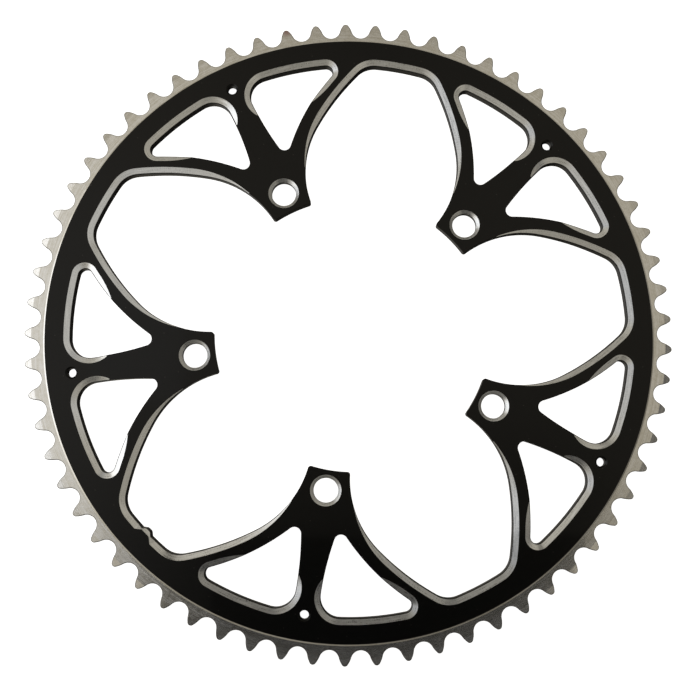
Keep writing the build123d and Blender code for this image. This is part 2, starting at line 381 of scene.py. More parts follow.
@dataclass
class Skin:
    """Collects the surfaces of one piece in millimetres and makes a closed mesh of them."""

    points: list[np.ndarray] = field(default_factory=list)
    faces: list[np.ndarray] = field(default_factory=list)
    maps: list[np.ndarray] = field(default_factory=list)
    coats: list[np.ndarray] = field(default_factory=list)
    count: int = 0

    def add(self, points: np.ndarray, faces: np.ndarray, maps: np.ndarray, coats: np.ndarray) -> None:
        """Adds one surface.

        Args:
            points: Its points, one row of x, y, z each.
            faces: Its faces, one row of point numbers each.
            maps: Map coordinates of the faces' corners, in millimetres.
            coats: Finish of each face.
        """
        self.points.append(points)
        self.faces.append(faces + self.count)
        self.maps.append(maps.reshape(-1, 2))
        self.coats.append(np.asarray(coats, int))
        self.count += len(points)

    def strip(self, rows: Sequence[tuple[np.ndarray, np.ndarray]], coats: Sequence[Any]) -> None:
        """Closed band through rows of equally many points, each row a path carried to the next one.

        The map's u is the way along the first row and v the way across the rows.

        Args:
            rows: Plan points and heights of each row.
            coats: Finish of each band between rows, one number or one per face.
        """
        plan = np.array([np.broadcast_to(p, rows[0][0].shape) for p, _ in rows])
        high = np.array([np.broadcast_to(z, rows[0][0].shape) for _, z in rows])
        grid = np.stack([plan.real, plan.imag, high], axis=-1)
        bands, n = len(rows) - 1, plan.shape[1]
        number = np.arange(grid.shape[0] * n).reshape(-1, n)
        after = np.roll(number, -1, axis=1)
        faces = np.stack([number[:-1], number[1:], after[1:], after[:-1]], axis=-1).reshape(-1, 4)
        along = np.concatenate([[0.0], np.cumsum(np.abs(np.roll(plan[0], -1) - plan[0]))])
        across = np.vstack([np.zeros(n), np.cumsum(np.linalg.norm(np.diff(grid, axis=0), axis=-1), axis=0)])
        near, far = across, np.roll(across, -1, axis=1)
        u0, u1 = np.broadcast_to(along[:-1], (bands, n)), np.broadcast_to(along[1:], (bands, n))
        us = np.stack([u0, u0, u1, u1], axis=-1)
        vs = np.stack([near[:-1], near[1:], far[1:], far[:-1]], axis=-1)
        coat = np.concatenate([np.broadcast_to(np.asarray(c, int), n) for c in coats])
        self.add(grid.reshape(-1, 3), faces, np.stack([us, vs], axis=-1), coat)

    def fill(self, loops: Sequence[np.ndarray], inner: np.ndarray, height: Any, coat: Coat) -> None:
        """Surface over the plan between a first loop and the loops inside it, as a Delaunay net.

        Args:
            loops: The outer loop, then the loops of its openings.
            inner: Plan points inside the surface that the net also passes through.
            height: Function that gives the heights of plan points.
            coat: Finish of the surface.
        """
        plan = np.concatenate([*loops, inner])
        edges, base = [], 0
        for loop in loops:
            number = base + np.arange(len(loop))
            edges.append(np.stack([number, np.roll(number, -1)], axis=-1))
            base += len(loop)
        # The net's function takes and gives lists of vectors.
        flat = [Vector((p.real, p.imag)) for p in plan]
        net = delaunay_2d_cdt(flat, np.concatenate(edges).tolist(), [], 0, NET_TOLERANCE)
        plan = np.array([complex(v.x, v.y) for v in net[0]])
        faces = np.array(net[2])
        middle = plan[faces].mean(axis=1)
        faces = faces[between(loops, middle)]
        flat_map = np.stack([plan[faces].real, plan[faces].imag], axis=-1)
        points = np.stack([plan.real, plan.imag, height(plan)], axis=-1)
        self.add(points, faces, flat_map, np.full(len(faces), int(coat)))

    def piece(self, name: str, sharp_angle: float) -> bpy.types.Object:
        """Object of the collected surfaces, merged, turned outwards and smooth up to an angle.

        Args:
            name: Name of the object.
            sharp_angle: Angle in degrees past which an edge stays sharp.

        Returns:
            The object, at the origin, with its place in its mesh.
        """
        mesh = bpy.data.meshes.new(name)
        faces = [row for block in self.faces for row in block.tolist()]
        mesh.from_pydata((np.concatenate(self.points) * MM).tolist(), [], faces)
        mesh.polygons.foreach_set("material_index", np.concatenate(self.coats))
        layer = mesh.uv_layers.new(name="Path")
        layer.data.foreach_set("uv", np.concatenate(self.maps).ravel())
        work = bmesh.new()
        work.from_mesh(mesh)
        bmesh.ops.remove_doubles(work, verts=work.verts, dist=MERGE_DISTANCE * MM)
        bmesh.ops.dissolve_degenerate(work, edges=work.edges, dist=COLLAPSE_DISTANCE * MM)
        loose = [v for v in work.verts if not v.link_faces]
        bmesh.ops.delete(work, geom=loose, context="VERTS")
        bmesh.ops.recalc_face_normals(work, faces=work.faces)
        LOG.info("%s: %d open edges", name, sum(len(e.link_faces) != 2 for e in work.edges))
        work.to_mesh(mesh)
        work.free()
        mesh.polygons.foreach_set("use_smooth", np.ones(len(mesh.polygons), bool))
        mesh.set_sharp_from_angle(angle=math.radians(sharp_angle))
        piece = bpy.data.objects.new(name, mesh)
        bpy.context.scene.collection.objects.link(piece)
        return piece


def inside(loop: np.ndarray, points: np.ndarray) -> np.ndarray:
    """Which plan points lie inside a closed loop: those whose ray to +X crosses it an odd number of times.

    Args:
        loop: Plan points of the loop in order.
        points: Plan points to test.

    Returns:
        True for each point inside.
    """
    a, b = loop[:, None], np.roll(loop, -1)[:, None]
    held = np.zeros(len(points), bool)
    for block in np.array_split(np.arange(len(points)), max(1, len(points) // TEST_BLOCK)):
        p = points[block][None, :]
        spans = (a.imag > p.imag) != (b.imag > p.imag)
        rise = np.where(b.imag == a.imag, 1.0, b.imag - a.imag)
        crossing = a.real + (p.imag - a.imag) * (b.real - a.real) / rise
        held[block] = (spans & (p.real < crossing)).sum(axis=0) % 2 == 1
    return held


def between(loops: Sequence[np.ndarray], points: np.ndarray) -> np.ndarray:
    """Which plan points lie inside a first loop and outside the loops that it holds."""
    held = [inside(loop, points) for loop in loops]
    return held[0] & ~np.any(held[1:], axis=0)


def rounded(before: complex, corner: complex, after: complex, radius: float, count: int = 7) -> np.ndarray:
    """Arc that rounds a corner of a line: its ends lie radius / tan(half the angle) from the corner.

    Args:
        before: Point of the line before the corner.
        corner: The corner.
        after: Point of the line after it.
        radius: Radius of the arc.
        count: Points of the arc.

    Returns:
        Plan points of the arc from end to end.
    """
    back, on = [(p - corner) / abs(p - corner) for p in (before, after)]
    half = abs(np.angle(on / back)) / 2
    middle = corner + (back + on) / abs(back + on) * radius / math.sin(half)
    spoke = corner + back * radius / math.tan(half) - middle
    sweep = np.angle((corner + on * radius / math.tan(half) - middle) / spoke)
    return middle + spoke * np.exp(1j * sweep * np.linspace(0, 1, count))


def nearest_on(line: np.ndarray, points: np.ndarray) -> np.ndarray:
    """The points of an open polyline nearest to given plan points, by projection on each of its lengths.

    Args:
        line: Corners of the polyline.
        points: Plan points.

    Returns:
        The nearest point of the line for each of them.
    """
    start, way = line[:-1, None], np.diff(line)[:, None]
    share = np.clip(((points[None, :] - start) * np.conj(way)).real / np.abs(way) ** 2, 0, 1)
    feet = start + share * way
    best = np.abs(feet - points[None, :]).argmin(axis=0)
    return feet[best, np.arange(len(points))]


@dataclass
class Chainring:
    """The ring: teeth, rim, arms and openings as fine surfaces, each face with its finish."""

    sizes: RingSizes = field(default_factory=RingSizes)
    name: str = "chainring_body"
    step: float = 1.0
    bend: float = 4.0
    fine_step: float = 0.15
    tooth_step: float = 0.5
    tooth_bend: float = 8.0
    bolt_samples: int = 120
    pin_samples: int = 80
    nib_side_samples: int = 8
    nib_top_samples: int = 4
    crease_circles: int = 3
    crease_samples: int = 480
    crease_clearance: float = 0.5
    sharp_angle: float = 11.0

    def __post_init__(self) -> None:
        """Works out the circles that bound the arms, each touching the next."""
        s = self.sizes
        half = s.tab_end_width / 2
        self.rim = Round(0j, s.rim_inner_r)
        self.tab_end = Round(0j, s.bolt_circle_r - s.tab_end_inset)
        tab_start = complex(half, math.sqrt(self.tab_end.radius**2 - half**2))
        self.tab_side = Round(tab_start + s.tab_side_r * cis(-s.tab_flare), s.tab_side_r)
        self.bay_corner = self.rim.touching(s.bay_corner_r, s.bay_half_turn - s.arm_step / 2)
        around = [r.within(s.arm_curve_r) for r in (self.tab_side, self.bay_corner)]
        self.arm = Round(around[0].meet(around[1], -1), s.arm_curve_r)
        self.arm_start = self.arm.angle(self.tab_side.touch(self.arm))

    def half_bay(self) -> list[Wall]:
        """Wall from the middle of a tab's end along its side and the arm to the middle of the bay.

        Returns:
            The stretches in order, with the cutter's circle where the bevel runs.
        """
        s = self.sizes
        width = s.bevel_width
        rim, tab_end, side, arm, bay = self.rim, self.tab_end, self.tab_side, self.arm, self.bay_corner
        corner_at = tab_end.grown(s.tab_corner_r).meet(side.grown(s.tab_corner_r), 1)
        corner = Round(corner_at, s.tab_corner_r)
        leave_angle = self.arm_start - s.bay_run_out_turn
        run_out = arm.grown(width).touching(s.bay_run_out_r, leave_angle)
        cross = side.cross(run_out, side.touch(arm))
        leave = arm.point(leave_angle)
        return [
            Wall(tab_end, tab_end.point(0), tab_end.touch(corner)),
            Wall(corner, tab_end.touch(corner), corner.touch(side), metal=-1),
            Wall(side, corner.touch(side), cross),
            Wall(side, cross, side.touch(arm), cutter=run_out),
            Wall(arm, side.touch(arm), leave, cutter=run_out),
            Wall(arm, leave, arm.touch(bay), cutter=arm.grown(width)),
            Wall(bay, arm.touch(bay), bay.touch(rim), cutter=bay.grown(width)),
            Wall(rim, bay.touch(rim), rim.point(-s.arm_step / 2), cutter=rim.grown(width)),
        ]

    def nib_side(self, ring: Round, base_width: float, tip_width: float, rise: float) -> np.ndarray:
        """Left side of a trapezium that stands on a circle's inner side, with its tip's corner rounded.

        Args:
            ring: The circle.
            base_width: Width of the trapezium on the circle.
            tip_width: Width of its tip before the rounding.
            rise: Distance of the tip from the circle.

        Returns:
            Its foot on the circle, then the arc that rounds its corner.
        """
        half = base_width / 2
        foot = complex(-half, math.sqrt(ring.radius**2 - half**2))
        tip = complex(-tip_width / 2, ring.radius - rise)
        return np.concatenate([[foot], rounded(foot, tip, -tip.conjugate(), self.sizes.nib_corner_r)])

    def nib(self) -> Edge:
        """Rim wall of one bay with the index nib, walked clockwise about a bay whose middle is on +Y.

        The wall is a trapezium with a rounded tip on the rim's arc; the bevel's edge is the nearest of the
        rim's bevel circle and the larger trapezium of the nib's front face.

        Returns:
            The sampled edge from corner to corner of the bay.
        """
        s = self.sizes
        side = self.nib_side(self.rim, s.nib_base_width, s.nib_tip_width, s.nib_rise)
        arc = self.rim.arc(self.rim.point(s.bay_half_turn), side[0], self.fine_step, self.bend)
        rise = side[0] + (side[1] - side[0]) * np.linspace(0, 1, self.nib_side_samples, endpoint=False)
        top = side[-1] - side[-1].real * np.linspace(0, 1, self.nib_top_samples, endpoint=False)[1:]
        left = np.concatenate([arc, rise, side[1:], top])
        wall = np.concatenate([left, [1j * side[-1].imag], -np.conj(left[:0:-1])])
        outer = self.rim.grown(s.bevel_width)
        face = self.nib_side(outer, s.nib_face_base_width, s.nib_face_tip_width, s.nib_face_rise)
        on_line, on_ring = nearest_on(np.concatenate([face, -np.conj(face[::-1])]), wall), outer.nearest(wall)
        nibbed = np.abs(on_line - wall) < np.abs(on_ring - wall)
        first, last = np.flatnonzero(nibbed)[[0, -1]]
        at = [first, last + 1]
        rim = np.insert(np.where(nibbed, on_line, on_ring), at, [face[0], -np.conj(face[0])])
        wall = np.insert(wall, at, wall[[first, last]])
        return Edge(wall, wall / np.abs(wall), rim)

    def star(self) -> Edge:
        """Edge of the central opening, arm after arm clockwise from the first arm's tab."""
        s = self.sizes
        first = self.half_bay()
        second = [w.placed(True, -s.arm_step) for w in reversed(first)]
        whole = Edge.along(first + second, self.step, self.bend)
        open_bay = [Edge.along(part, self.step, self.bend) for part in (first[:-1], second[1:])]
        middle = self.nib().turned(-s.arm_step / 2)
        nibbed = open_bay[0].joined(middle).joined(open_bay[1])
        nib_arm = s.arm_count // 2
        edge = whole
        for i in range(1, s.arm_count):
            edge = edge.joined((nibbed if i == nib_arm else whole).turned(-s.arm_step * i))
        return edge

    def window(self) -> Edge:
        """Edge of the window on the first arm's right: rim, heel, leg, tip, spine and crown.

        Returns:
            The closed sampled edge.
        """
        s = self.sizes
        width, rim = s.bevel_width, self.rim
        leg = self.arm.grown(s.leg_width).touching(s.leg_curve_r, self.arm_start - s.leg_curve_turn)
        spine_at = complex(s.spine_width / 2 + s.spine_curve_r, rim.radius - s.spine_waist_inset)
        spine = Round(spine_at, s.spine_curve_r)
        crown_r, heel_r, tip_r = s.window_crown_r, s.window_heel_r, s.window_tip_r
        crown = Round(spine.grown(-crown_r).meet(rim.grown(-crown_r), -1), crown_r)
        heel = Round(leg.grown(heel_r).meet(rim.grown(-heel_r), -1), heel_r)
        tip = Round(leg.grown(tip_r).meet(spine.grown(-tip_r), 1), tip_r)
        edge = leg.grown(-width)
        leave = edge.spun(heel.grown(width).touch(edge), s.leg_run_out_turn)
        leave_wall = complex(leg.nearest(np.array([leave]))[0])
        away = (leave - edge.centre) / abs(leave - edge.centre)
        run_out = Round(leave + away * s.leg_run_out_r, s.leg_run_out_r)
        leg_end = leg.cross(run_out, leg.touch(tip))
        spine_end = crown.grown(width).meet(spine, -1)
        walls = [
            Wall(rim, crown.touch(rim), rim.touch(heel), cutter=rim.grown(width)),
            Wall(heel, rim.touch(heel), heel.touch(leg), cutter=heel.grown(width)),
            Wall(leg, heel.touch(leg), leave_wall, metal=-1, cutter=edge),
            Wall(leg, leave_wall, leg_end, metal=-1, cutter=run_out),
            Wall(leg, leg_end, leg.touch(tip), metal=-1),
            Wall(tip, leg.touch(tip), tip.touch(spine)),
            Wall(spine, tip.touch(spine), spine_end),
            Wall(spine, spine_end, spine.touch(crown), cutter=crown.grown(width)),
            Wall(crown, spine.touch(crown), crown.touch(rim), cutter=crown.grown(width)),
        ]
        return Edge.along(walls, self.step, self.bend)

    def open_up(self, skin: Skin, edge: Edge) -> tuple[np.ndarray, np.ndarray]:
        """Adds an opening's bevel, wall and broken edges: each row is the wall's path moved into the metal.

        The bevel's lower edge is broken by a narrow lip that falls more steeply than the bevel.

        Args:
            skin: The surfaces to add to.
            edge: The opening's sampled edge.

        Returns:
            The loops that the opening leaves in the front face and in the rear surface.
        """
        s = self.sizes
        width = np.abs(edge.rim - edge.wall)
        bare = np.minimum(width, np.roll(width, -1)) > s.edge_break / s.bevel_slope
        broken = edge.wall + s.edge_break * edge.inward
        front = np.where(width > s.edge_break, edge.rim, broken)
        fall = np.maximum(width * s.bevel_slope, s.edge_break)
        share = np.minimum(s.bevel_lip / np.maximum(width, s.edge_break), s.bevel_lip_share)
        share = share * (width > s.edge_break)
        lip = edge.wall + share * (front - edge.wall)
        top = s.rim_thickness - fall
        rows = [
            (front, s.rim_thickness),
            (lip, top + share * fall),
            (edge.wall, top - s.bevel_lip_slope * share * width),
            (edge.wall, s.back(edge.wall) + s.edge_break),
            (broken, s.back(broken)),
        ]
        bevel = np.where(bare, Coat.BARE_BEVEL, Coat.BLACK_FACE)
        skin.strip(rows, [bevel, Coat.BLACK_WALL, Coat.BLACK_WALL, Coat.BLACK_FACE])
        return front, broken

    def drill(
        self,
        skin: Skin,
        centre: complex,
        rows: Sequence[tuple[float, float]],
        coats: Sequence[Coat],
        count: int,
    ) -> tuple[np.ndarray, np.ndarray]:
        """Adds a round hole: circles of the given radii and heights about its axis.

        Args:
            skin: The surfaces to add to.
            centre: Plan point of the axis.
            rows: Radius and height of each circle from front to rear.
            coats: Finish of each band between circles.
            count: Points of a circle.

        Returns:
            The first and the last circle.
        """
        circles = [(centre + radius * full_turn(count), height) for radius, height in rows]
        skin.strip(circles, coats)
        return circles[0][0], circles[-1][0]

    def holes(self, skin: Skin) -> list[tuple[np.ndarray, np.ndarray]]:
        """Adds the bolt holes and the pin holes of all arms.

        Args:
            skin: The surfaces to add to.

        Returns:
            Front and rear loop of each hole.
        """
        s = self.sizes
        top, broken = s.rim_thickness, s.edge_break
        tab_back = s.rim_thickness - s.tab_thickness
        bolt = [
            (s.bolt_sink_r, top),
            (s.bolt_hole_r, top - s.bolt_sink_depth),
            (s.bolt_hole_r, tab_back + broken),
            (s.bolt_hole_r + broken, tab_back),
        ]
        pin = [
            (s.pin_sink_r, top),
            (s.pin_hole_r, top - s.pin_sink_depth),
            (s.pin_hole_r, s.pin_rear_depth),
            (s.pin_rear_r, s.pin_rear_depth),
            (s.pin_rear_r, broken),
            (s.pin_rear_r + broken, 0.0),
        ]
        bolt_coats = [Coat.BARE_BEVEL, Coat.BLACK_WALL, Coat.BLACK_FACE]
        pin_coats = [Coat.BLACK_FACE] + [Coat.BLACK_WALL] * 3 + [Coat.BLACK_FACE]
        loops = []
        for i in range(s.arm_count):
            way = 1j * cis(-s.arm_step * i)
            loops.append(self.drill(skin, way * s.bolt_circle_r, bolt, bolt_coats, self.bolt_samples))
            loops.append(self.drill(skin, way * s.pin_circle_r, pin, pin_coats, self.pin_samples))
        return loops

    def tooth_outline(self) -> tuple[np.ndarray, np.ndarray]:
        """Outline of all teeth: roller seats, flanks and noses, each circle touching the next.

        Returns:
            Plan points and directions into the metal.
        """
        s = self.sizes
        seat = Round(1j * s.pitch_r, s.roller_seat_r)
        nose = Round(1j * (s.tip_r - s.tooth_nose_r), s.tooth_nose_r).turned(-s.tooth_step / 2)
        flank_at = seat.grown(s.tooth_flank_r).meet(nose.within(s.tooth_flank_r), -1)
        flank = Round(flank_at, s.tooth_flank_r)
        chain = [nose.turned(s.tooth_step), flank.mirrored(), seat, flank, nose]
        chain.append(flank.mirrored().turned(-s.tooth_step))
        walls = [
            Wall(r, before.touch(r), r.touch(after), metal=1 if r == seat else -1)
            for before, r, after in zip(chain, chain[1:], chain[2:])
        ]
        pitch = Edge.along(walls, self.tooth_step, self.tooth_bend)
        spins = np.conj(full_turn(s.tooth_count))[:, None]
        return (spins * pitch.wall).ravel(), (spins * pitch.inward).ravel()

    def teeth(self, skin: Skin) -> tuple[np.ndarray, np.ndarray]:
        """Adds the shoulder and the teeth: each row is a circle, or the teeth's outline, at the same angles.

        The fillet at the teeth's foot is a quarter circle that passes through its middle.

        Args:
            skin: The surfaces to add to.

        Returns:
            The circles at which the front face and the rear surface begin.
        """
        s = self.sizes
        outline, inward = self.tooth_outline()
        edge = outline + s.tooth_break * inward
        reach, unit = np.abs(edge), edge / np.abs(edge)
        flat_end = np.minimum(reach, s.tip_r - s.tip_bevel_length)
        foot, soft = s.tooth_thickness, s.foot_fillet
        half_soft = soft * (1 - math.sqrt(0.5))
        rows = [
            (unit * (s.rim_outer_r - s.shoulder_bevel), s.rim_thickness),
            (unit * s.rim_outer_r, s.rim_thickness - s.shoulder_bevel),
            (unit * s.rim_outer_r, foot + soft),
            (unit * (s.rim_outer_r + half_soft), foot + half_soft),
            (unit * (s.rim_outer_r + soft), foot),
            (unit * flat_end, foot),
            (edge, s.tooth_front(reach)),
            (outline, s.tooth_front(reach) - s.tooth_break),
            (outline, s.tooth_break),
            (edge, 0.0),
            (unit * s.rim_outer_r, 0.0),
        ]
        coats = [Coat.BARE_TURNED] * 6 + [Coat.DULL_EDGE] * 3 + [Coat.BARE_TURNED]
        skin.strip(rows, coats)
        return rows[0][0], rows[-1][0]

    def crease_points(self, loops: Sequence[np.ndarray]) -> np.ndarray:
        """Plan points on circles from the rear dish's beginning to its end, clear of the loops.

        Args:
            loops: Outer loop and openings of the rear surface.

        Returns:
            The points that lie on the surface.
        """
        radii = np.linspace(*self.sizes.dish_radii, self.crease_circles)
        points = np.outer(radii, full_turn(self.crease_samples)).ravel()
        points = points[between(loops, points)]
        gap = np.abs(points[:, None] - np.concatenate(loops[1:])).min(axis=1)
        return points[gap > self.crease_clearance]

    def build(self) -> bpy.types.Object:
        """Makes the ring's mesh: strips along every path, and nets over the front face and the rear.

        Returns:
            The ring's object.
        """
        s = self.sizes
        skin = Skin()
        window = self.window()
        edges = [self.star()]
        for i in range(s.arm_count):
            edges += [e.turned(-s.arm_step * i) for e in (window, window.mirrored())]
        pairs = [self.teeth(skin)] + [self.open_up(skin, e) for e in edges] + self.holes(skin)
        fronts, backs = [[distinct(loop) for loop in side] for side in zip(*pairs)]
        none = np.zeros(0, complex)
        skin.fill(fronts, none, lambda plan: np.full(len(plan), s.rim_thickness), Coat.BLACK_FACE)
        skin.fill(backs, self.crease_points(backs), s.back, Coat.BLACK_FACE)
        return skin.piece(self.name, self.sharp_angle)


def distinct(loop: np.ndarray) -> np.ndarray:
    """A closed loop without points that repeat their neighbour."""
    return loop[np.abs(loop - np.roll(loop, 1)) > SAME_POINT]


@dataclass
class Shop:
    """Adds nodes to one tree, each by its type, its settings and the values or links of its sockets."""

    tree: bpy.types.NodeTree

    @staticmethod
    def cleared(owner: Any) -> "Shop":
        """The emptied tree of a material or a world."""
        owner.use_nodes = True
        owner.node_tree.nodes.clear()
        return Shop(owner.node_tree)

    def node(self, kind: str, settings: dict[str, Any], sockets: dict[Any, Any], out: Any = 0) -> "Tone":
        """Adds one node.

        Args:
            kind: Blender's name of the node's type.
            settings: Properties that are set first.
            sockets: Values, tones or links of its inputs, by name or number.
            out: Name or number of the output that is returned.

        Returns:
            The output as a tone.
        """
        made = self.tree.nodes.new(kind)
        for key, value in settings.items():
            setattr(made, key, value)
        for key, value in sockets.items():
            if isinstance(value, Tone):
                self.tree.links.new(value.socket, made.inputs[key])
            else:
                made.inputs[key].default_value = value
        return Tone(self, made.outputs[out] if len(made.outputs) else None)

    def math(self, operation: str, *values: Any) -> "Tone":
        """A Math node on tones or numbers."""
        return self.node("ShaderNodeMath", {"operation": operation}, dict(enumerate(values)))

    def mix(self, share: "Tone", first: Any, second: Any) -> "Tone":
        """Colour that goes from the first to the second with the share."""
        return self.node("ShaderNodeMix", {"data_type": "RGBA"}, {0: share, 6: first, 7: second}, out=2)

    def parts(self, vector: "Tone") -> list["Tone"]:
        """The three components of a vector."""
        split = self.node("ShaderNodeSeparateXYZ", {}, {0: vector}).socket.node
        return [Tone(self, socket) for socket in split.outputs]

    def vector(self, x: Any, y: Any, z: Any = 0.0) -> "Tone":
        """Vector of three tones or numbers."""
        return self.node("ShaderNodeCombineXYZ", {}, {0: x, 1: y, 2: z})

    def millimetres(self) -> list["Tone"]:
        """Object coordinates in millimetres."""
        place = self.node("ShaderNodeTexCoord", {}, {}, out="Object")
        scaled = self.node("ShaderNodeVectorMath", {"operation": "SCALE"}, {0: place, "Scale": 1 / MM})
        return self.parts(scaled)

    def path(self) -> tuple["Tone", "Tone"]:
        """The way along a surface's path and across it, in millimetres."""
        u, v, _ = self.parts(self.node("ShaderNodeTexCoord", {}, {}, out="UV"))
        return u, v


@dataclass(frozen=True)
class Tone:
    """A socket of a shader; Python's operators on value sockets add Math nodes."""

    shop: Shop
    socket: Any

    def __add__(self, other: Any) -> "Tone":
        """Sum."""
        return self.shop.math("ADD", self, other)

    def __radd__(self, other: Any) -> "Tone":
        """Sum with a number on the left."""
        return self.shop.math("ADD", other, self)

    def __sub__(self, other: Any) -> "Tone":
        """Difference."""
        return self.shop.math("SUBTRACT", self, other)

    def __rsub__(self, other: Any) -> "Tone":
        """Difference from a number on the left."""
        return self.shop.math("SUBTRACT", other, self)

    def __mul__(self, other: Any) -> "Tone":
        """Product."""
        return self.shop.math("MULTIPLY", self, other)

    def __rmul__(self, other: Any) -> "Tone":
        """Product with a number on the left."""
        return self.shop.math("MULTIPLY", other, self)


@dataclass(frozen=True)
class Ramp:
    """A smooth step along a tone: where it begins and ends, and its values there."""

    low: float
    high: float
    start: float = 0.0
    end: float = 1.0

    def of(self, tone: Tone) -> Tone:
        """The stepped tone."""
        ends = {"From Min": self.low, "From Max": self.high, "To Min": self.start, "To Max": self.end}
        smooth = {"interpolation_type": "SMOOTHSTEP"}
        return tone.shop.node("ShaderNodeMapRange", smooth, {"Value": tone} | ends)


@dataclass(frozen=True)
class Grain:
    """A noise: its grains per millimetre along two or three coordinates, its detail and its roughness.

    The shift stands in for a third coordinate. The share and the relief say how much the noise counts in a
    finish's pattern and in the height of its surface.
    """

    scale: tuple[float, ...]
    detail: float = 2.0
    rough: float = 0.5
    shift: float = 0.0
    share: float = 1.0
    relief: float = 0.0

    def of(self, *place: Tone) -> Tone:
        """The noise, from 0 to 1, at a place."""
        shop = place[0].shop
        at = [coordinate * scale for coordinate, scale in zip(place, self.scale)] + [self.shift]
        sockets = {"Vector": shop.vector(*at[:3]), "Scale": 1.0}
        sockets |= {"Detail": self.detail, "Roughness": self.rough}
        return shop.node("ShaderNodeTexNoise", {}, sockets)


def weave(*laid: tuple[Grain, Sequence[Tone]]) -> tuple[Tone, Tone]:
    """Pattern and relief of several grains: the sums of their noises by their shares in each.

    Args:
        laid: Each grain with the coordinates along which it is laid.

    Returns:
        The pattern and the relief, each from 0 to 1.
    """
    noises = [(grain, grain.of(*place)) for grain, place in laid]
    pattern = sum(noise * grain.share for grain, noise in noises)
    return pattern, sum(noise * grain.relief for grain, noise in noises if grain.relief)


@dataclass(frozen=True)
class Finish:
    """A finish of the ring: its plain values, and what varies over the surface."""

    name: str
    dark: tuple[float, float, float]
    light: tuple[float, float, float]
    metallic: float
    roughness: float
    roughness_swing: float
    relief: float
    specular: float = 0.5

    def grain(self, shop: Shop) -> tuple[Tone, Tone]:
        """The finish's pattern and its relief, each from 0 to 1."""
        raise NotImplementedError

    def marked(self, shop: Shop, colour: Tone) -> Tone:
        """The colour with the marks that the surface carries; most carry none."""
        return colour

    def material(self) -> bpy.types.Material:
        """Makes the material: the pattern swings colour and roughness, and the relief bumps the surface.

        Returns:
            The material.
        """
        made = bpy.data.materials.new(self.name)
        shop = Shop.cleared(made)
        pattern, relief = self.grain(shop)
        bump = {"Strength": 1.0, "Distance": self.relief * MM, "Height": relief}
        sockets = {
            "Base Color": self.marked(shop, shop.mix(pattern, (*self.dark, 1), (*self.light, 1))),
            "Metallic": self.metallic,
            "Roughness": self.roughness + (pattern - 0.5) * self.roughness_swing,
            "Specular IOR Level": self.specular,
            "Normal": shop.node("ShaderNodeBump", {}, bump),
        }
        surface = shop.node("ShaderNodeBsdfPrincipled", {}, sockets)
        shop.node("ShaderNodeOutputMaterial", {}, {"Surface": surface})
        return made


@dataclass(frozen=True)
class SatinBlack(Finish):
    """Black anodised plate: a fine etched grain over soft clouds, and a few pale specks."""

    fine: Grain = Grain((3.5, 3.5, 3.5), 3.0, 0.7, share=0.6, relief=1.0)
    cloud: Grain = Grain((0.06, 0.06, 0.06), share=0.4)
    swing: float = 0.06
    specks_per_mm: float = 0.08
    speck: Ramp = Ramp(0.010, 0.022, 1.0, 0.0)
    speck_light: float = 0.6

    def grain(self, shop: Shop) -> tuple[Tone, Tone]:
        """Grain a third of a millimetre wide and clouds; a speck is the middle of a cell 12 mm wide."""
        place = shop.millimetres()
        pattern, relief = weave((self.fine, place), (self.cloud, place))
        cells = {"Vector": shop.vector(*[p * self.specks_per_mm for p in place[:2]]), "Scale": 1.0}
        near = shop.node("ShaderNodeTexVoronoi", {"voronoi_dimensions": "2D"}, cells, out="Distance")
        return pattern * self.swing + self.speck.of(near) * self.speck_light, relief


@dataclass(frozen=True)
class MilledBare(Finish):
    """Bare aluminium left by a mill that ran along the edge: lines along the path."""

    lines: Grain = Grain((0.12, 5.0), 3.0, 0.65, share=0.35, relief=0.6)
    bands: Grain = Grain((0.15, 1.6), shift=7.0, share=0.45)
    steps: Grain = Grain((1.6, 0.7), share=0.2, relief=0.4)
    contrast: Ramp = Ramp(0.32, 0.68)

    def grain(self, shop: Shop) -> tuple[Tone, Tone]:
        """Lines along the path a fifth of a millimetre apart, with wider bands and cutter steps."""
        path = shop.path()
        pattern, relief = weave((self.lines, path), (self.bands, path), (self.steps, path))
        return self.contrast.of(pattern), relief


@dataclass(frozen=True)
class TurnedBare(Finish):
    """Bare aluminium left by a lathe: fine rings about the axis, and one tooth's tip with a red stain."""

    rings: Grain = Grain((6.0, 0.03, 0.03), 3.0, 0.65, share=0.25, relief=1.0)
    bands: Grain = Grain((1.8, 0.06, 0.06), share=0.4)
    blots: Grain = Grain((0.7, 0.7, 0.7), 3.0, 0.6, share=0.35)
    contrast: Ramp = Ramp(0.32, 0.68)
    stain_at: tuple[float, float] = (-113.0, 70.8)
    stain_reach: Ramp = Ramp(0.6, 3.6, 1.0, 0.0)
    stain: tuple[float, float, float] = (0.46, 0.33, 0.31)

    def marked(self, shop: Shop, colour: Tone) -> Tone:
        """The colour with the stain, which fades with the distance from its middle."""
        x, y, _ = shop.millimetres()
        right, up = x - self.stain_at[0], y - self.stain_at[1]
        far = shop.math("SQRT", right * right + up * up)
        return shop.mix(self.stain_reach.of(far), colour, (*self.stain, 1))

    def grain(self, shop: Shop) -> tuple[Tone, Tone]:
        """Rings a sixth and half a millimetre apart that fade around the ring, and millimetre blotches."""
        x, y, z = shop.millimetres()
        around = (shop.math("SQRT", x * x + y * y), x, y)
        pattern, relief = weave((self.rings, around), (self.bands, around), (self.blots, (x, y, z)))
        return self.contrast.of(pattern), relief


